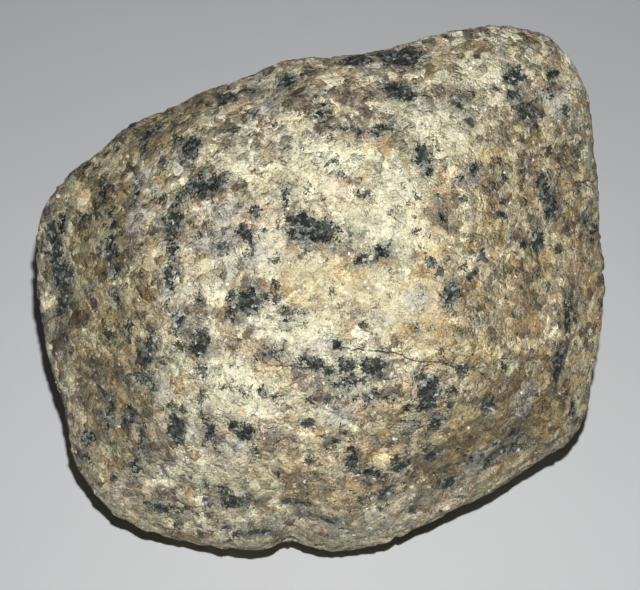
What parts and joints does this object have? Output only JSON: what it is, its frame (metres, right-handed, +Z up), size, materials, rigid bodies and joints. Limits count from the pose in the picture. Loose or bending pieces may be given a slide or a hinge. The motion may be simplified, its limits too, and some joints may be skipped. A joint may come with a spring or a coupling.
{
  "type": "granite pebble",
  "caption": "Worn, blocky granite pebble with rounded facets, standing on a small flat spot.",
  "frame": {"origin": "centre of the outer box's underside, on the surface that the pebble rests on", "axes": "+Z up, +X along the pebble's longest side, +Y away from the side seen in the picture"},
  "size_m": [0.071, 0.057, 0.0548],
  "materials": {
    "granite": "rough, weathered, speckled"
  },
  "bodies": {
    "root": {"pebble": "granite"}
  },
  "joints": []
}
